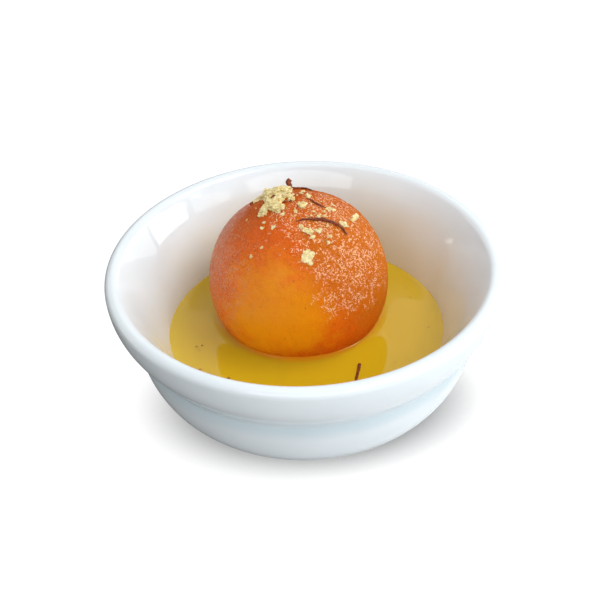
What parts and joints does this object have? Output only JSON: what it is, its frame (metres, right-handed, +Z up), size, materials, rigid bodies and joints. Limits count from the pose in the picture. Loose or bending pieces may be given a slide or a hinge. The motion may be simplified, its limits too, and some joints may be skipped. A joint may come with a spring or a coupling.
{
  "type": "gulab jamun in a small bowl",
  "caption": "Round fried milk-dough dumpling half sunk in sugar syrup, in a small thick-walled round porcelain bowl.",
  "frame": {"origin": "middle of the bowl's foot, on the surface it stands on", "axes": "+Z up, square to the rim; the dumpling sits towards +Y from the bowl's middle"},
  "size_m": [0.098, 0.098, 0.0509],
  "materials": {
    "porcelain": "glossy white glaze",
    "sugar_syrup": "clear golden sugar syrup",
    "fried_dough": "fried orange-brown skin, wet with syrup",
    "pistachio": "dry pale yellow-green crumbs of nut",
    "saffron": "dark red-brown soaked threads"
  },
  "bodies": {
    "root": {"bowl": "porcelain", "syrup": "sugar_syrup", "gulab_jamun": "fried_dough"}
  },
  "joints": []
}
